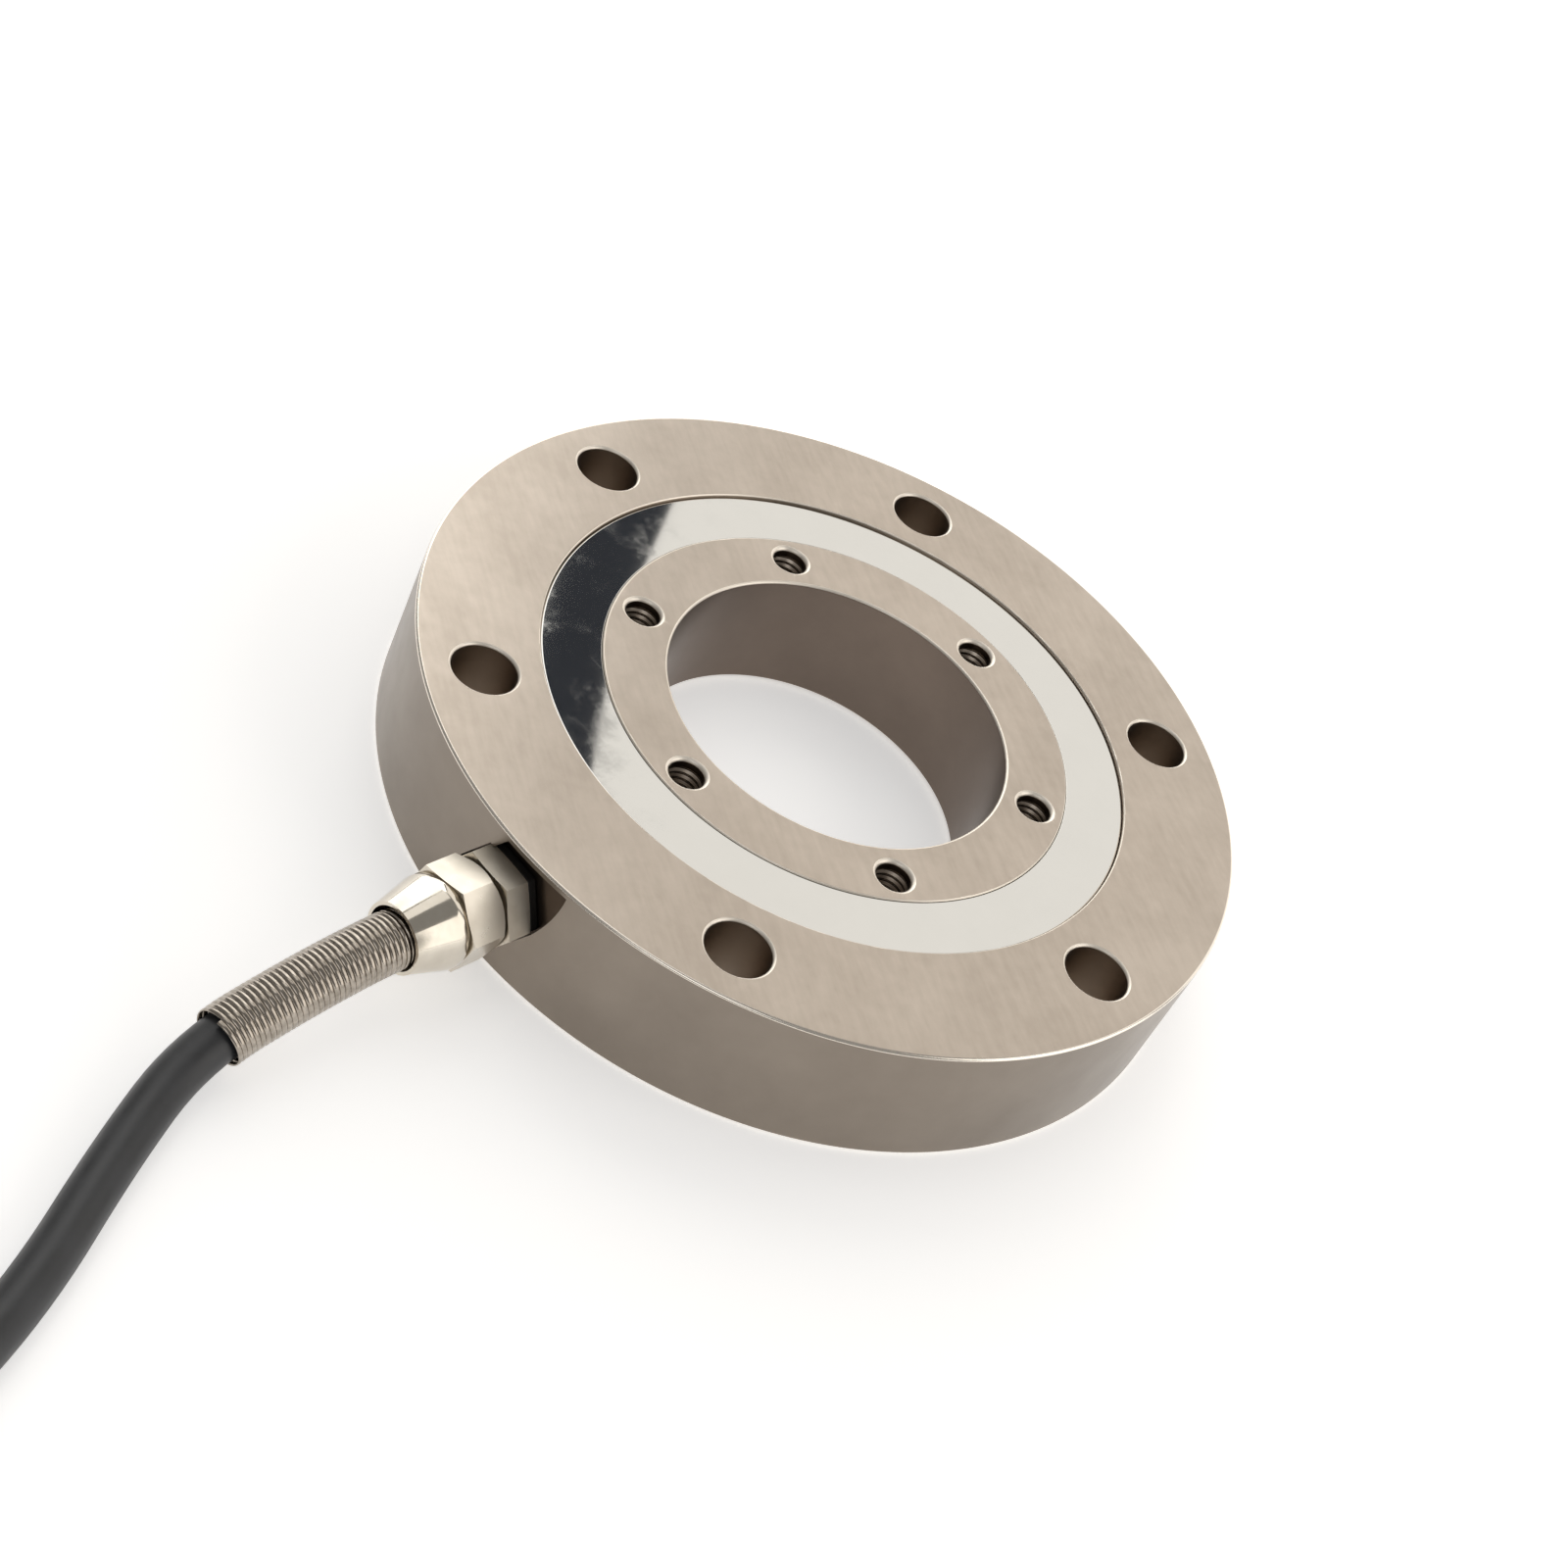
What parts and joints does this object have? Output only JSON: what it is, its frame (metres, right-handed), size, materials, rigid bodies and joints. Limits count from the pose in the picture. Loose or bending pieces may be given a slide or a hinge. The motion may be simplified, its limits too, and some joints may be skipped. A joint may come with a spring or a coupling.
{
  "type": "pancake load cell",
  "caption": "Low round ring load cell: steel flange, thin measuring web under a polished cover, threaded hub with an open bore, and a side gland with spring and cable.",
  "frame": {"origin": "on the bore's axis in the bottom face of the flange", "axes": "+Z along the bore from the bottom face to the cover side; the cable leaves along -Y"},
  "size_m": [0.129, 0.322, 0.02],
  "materials": {
    "nickel_body": "nickel-plated alloy steel, fine turned",
    "polished_cover": "polished stainless steel sheet",
    "gauge_foil": "amber polyimide foil gauge",
    "tab_pads": "glass epoxy with tinned pads",
    "bridge_wire": "enamelled copper wire",
    "board_green": "green solder mask",
    "resistor_black": "chip resistor",
    "insulation_red": "red PVC insulation",
    "insulation_black": "black PVC insulation",
    "insulation_green": "green PVC insulation",
    "insulation_white": "white PVC insulation",
    "gland_nickel": "bright nickel-plated brass",
    "black_rubber": "black nitrile rubber",
    "spring_steel": "bright spring steel wire",
    "washer_steel": "plain steel",
    "cable_jacket": "satin black PVC",
    "tie_black": "black nylon"
  },
  "bodies": {
    "root": {"elastic_body": "nickel_body", "cover_ring": "polished_cover", "strain_gauge_1": "gauge_foil", "strain_gauge_2": "gauge_foil", "strain_gauge_3": "gauge_foil", "strain_gauge_4": "gauge_foil", "strain_gauge_5": "gauge_foil", "strain_gauge_6": "gauge_foil", "strain_gauge_7": "gauge_foil", "strain_gauge_8": "gauge_foil", "terminal_tab_1": "tab_pads", "terminal_tab_2": "tab_pads", "terminal_tab_3": "tab_pads", "terminal_tab_4": "tab_pads", "bridge_wire_1": "bridge_wire", "bridge_wire_2": "bridge_wire", "bridge_wire_3": "bridge_wire", "bridge_wire_4": "bridge_wire", "bridge_wire_5": "bridge_wire", "terminal_board": "board_green", "trim_resistor_1": "resistor_black", "trim_resistor_2": "resistor_black", "core_wire_1": "insulation_red", "core_wire_2": "insulation_black", "core_wire_3": "insulation_green", "core_wire_4": "insulation_white", "gland_gasket": "black_rubber", "gland_body": "gland_nickel", "gland_cap_nut": "gland_nickel", "gland_bushing": "black_rubber", "gland_washer": "washer_steel", "strain_relief_spring": "spring_steel", "cable": "cable_jacket", "cable_coil": "cable_jacket", "cable_tail": "cable_jacket", "coil_tie_1": "tie_black", "coil_tie_2": "tie_black", "lead_red": "insulation_red", "lead_black": "insulation_black", "lead_green": "insulation_green", "lead_white": "insulation_white"}
  },
  "joints": []
}
